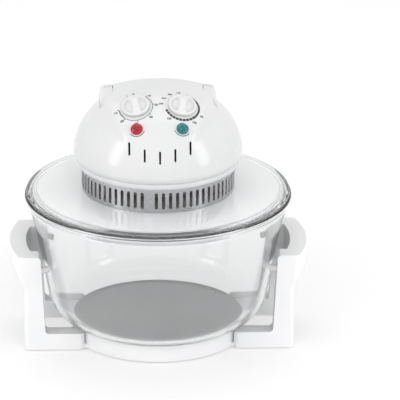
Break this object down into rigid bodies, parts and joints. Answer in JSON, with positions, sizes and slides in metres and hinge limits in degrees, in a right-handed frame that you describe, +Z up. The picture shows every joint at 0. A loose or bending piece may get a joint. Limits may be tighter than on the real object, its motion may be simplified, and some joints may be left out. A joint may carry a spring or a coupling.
{
  "type": "halogen oven",
  "caption": "halogen oven: round glass bowl in a white stand with side grips, glass lid, slotted metal ring and domed heater head with knobs, lamps and a folding carry handle",
  "frame": {"origin": "on the table under the bowl's centre, at the bottom of the rubber feet", "axes": "+Z up, -Y towards the front with the controls, +X to the right as seen from the front"},
  "size_m": [0.3756, 0.332, 0.331],
  "materials": {
    "stand_plastic": "smooth white moulding with a soft gloss",
    "foot_rubber": "matt dark rubber",
    "bumper_rubber": "translucent pale rubber",
    "fixing_steel": "plain zinc-plated steel",
    "bowl_glass": "clear, smooth, thick heat-proof glass",
    "lid_glass": "smooth glass with a milky, lightly frosted look",
    "gasket_rubber": "matt grey silicone",
    "vent_steel": "bright rolled stainless sheet with punched slots",
    "head_plastic": "glossy white moulding",
    "plate_steel": "plain galvanised sheet",
    "pan_aluminium": "bright spun aluminium reflector",
    "insulation_board": "fibrous mineral board",
    "quartz": "clear quartz tube with a faint amber cast",
    "ceramic": "unglazed ceramic",
    "guard_wire": "bright plated wire",
    "laminated_steel": "stacked, varnished steel sheets",
    "coil_copper": "enamelled copper winding",
    "bush_bronze": "sintered bronze",
    "shaft_steel": "ground steel",
    "rotor_steel": "turned steel laminations",
    "cooling_fan_plastic": "moulded heat-proof plastic",
    "hot_fan_aluminium": "pressed aluminium sheet",
    "timer_metal": "pressed steel case",
    "bell_steel": "plated steel bell",
    "thermostat_ceramic": "tan ceramic and phenolic",
    "knob_plastic": "smooth glossy white plastic",
    "red_plastic": "clear red plastic lens",
    "green_plastic": "clear blue-green plastic lens",
    "lamp_glass": "small neon lamp",
    "handle_plastic": "smooth white plastic",
    "cam_plastic": "self-lubricating plastic",
    "switch_plastic": "black phenolic switch case",
    "plunger_plastic": "red plastic plunger",
    "cutout_plastic": "black phenolic case",
    "terminal_ceramic": "white ceramic block",
    "inlet_plastic": "black moulded socket",
    "pin_brass": "plated brass"
  },
  "bodies": {
    "stand": {"base_ring": "stand_plastic", "left_side_frame": "stand_plastic", "right_side_frame": "stand_plastic", "rubber_feet": "foot_rubber", "bowl_bumpers": "bumper_rubber", "frame_screws": "fixing_steel"},
    "bowl": {"glass_bowl": "bowl_glass"},
    "fan_rotor": {"motor_shaft": "shaft_steel", "rotor_core": "rotor_steel", "cooling_fan": "cooling_fan_plastic", "hot_air_fan": "hot_fan_aluminium", "fan_nut": "fixing_steel"},
    "timer_dial": {"timer_shaft": "shaft_steel", "timer_knob": "knob_plastic"},
    "thermostat_dial": {"thermostat_shaft": "shaft_steel", "thermostat_knob": "knob_plastic"},
    "handle": {"carry_handle": "handle_plastic", "handle_axles": "shaft_steel", "switch_cam": "cam_plastic"},
    "plunger": {"switch_plunger": "plunger_plastic"},
    "head": {"glass_lid": "lid_glass", "lid_gasket": "gasket_rubber", "vent_ring": "vent_steel", "head_collar": "head_plastic", "chassis_plate": "plate_steel", "head_cover": "head_plastic", "control_panel": "head_plastic", "cover_screws": "fixing_steel", "heater_pan": "pan_aluminium", "insulation_disc": "insulation_board", "pan_studs": "fixing_steel", "stud_nuts": "fixing_steel", "halogen_tube": "quartz", "tube_end_caps": "ceramic", "tube_clips": "fixing_steel", "grille_guard": "guard_wire", "motor_stator": "laminated_steel", "motor_coil": "coil_copper", "motor_brackets": "plate_steel", "motor_bushes": "bush_bronze", "motor_spacers": "fixing_steel", "motor_screws": "fixing_steel", "timer_body": "timer_metal", "timer_bell": "bell_steel", "thermostat_body": "thermostat_ceramic", "control_screws": "fixing_steel", "red_lens": "red_plastic", "green_lens": "green_plastic", "neon_lamps": "lamp_glass", "safety_switch": "switch_plastic", "thermal_cutout": "cutout_plastic", "terminal_block": "terminal_ceramic", "power_inlet": "inlet_plastic", "inlet_pins": "pin_brass"}
  },
  "joints": [
    {"name": "bowl_lift", "type": "slide", "parent": "stand", "child": "bowl", "axis": [0, 0, 1], "range_m": [0, 0.2]},
    {"name": "head_lift", "type": "slide", "parent": "bowl", "child": "head", "axis": [0, 0, 1], "range_m": [0, 0.2]},
    {"name": "fan_spin", "type": "hinge", "parent": "head", "child": "fan_rotor", "pos_m": [0, 0, 0.22], "axis": [0, 0, 1], "continuous": true},
    {"name": "timer_turn", "type": "hinge", "parent": "head", "child": "timer_dial", "pos_m": [-0.0285, -0.047, 0.31602], "axis": [-0.1399, -0.4144, 0.8993], "range_deg": [-300, 0]},
    {"name": "thermostat_turn", "type": "hinge", "parent": "head", "child": "thermostat_dial", "pos_m": [0.0285, -0.047, 0.31602], "axis": [0.1399, -0.4144, 0.8993], "range_deg": [-270, 0]},
    {"name": "handle_fold", "type": "hinge", "parent": "head", "child": "handle", "pos_m": [0, 0.003, 0.308], "axis": [1, 0, 0], "range_deg": [0, 90]},
    {"name": "plunger_rise", "type": "slide", "parent": "head", "child": "plunger", "axis": [0, 0, 1], "range_m": [0, 0.003]}
  ],
  "couplings": [
    {"joint": "plunger_rise", "follows": "handle_fold", "m_per_rad": 0.0019098}
  ]
}
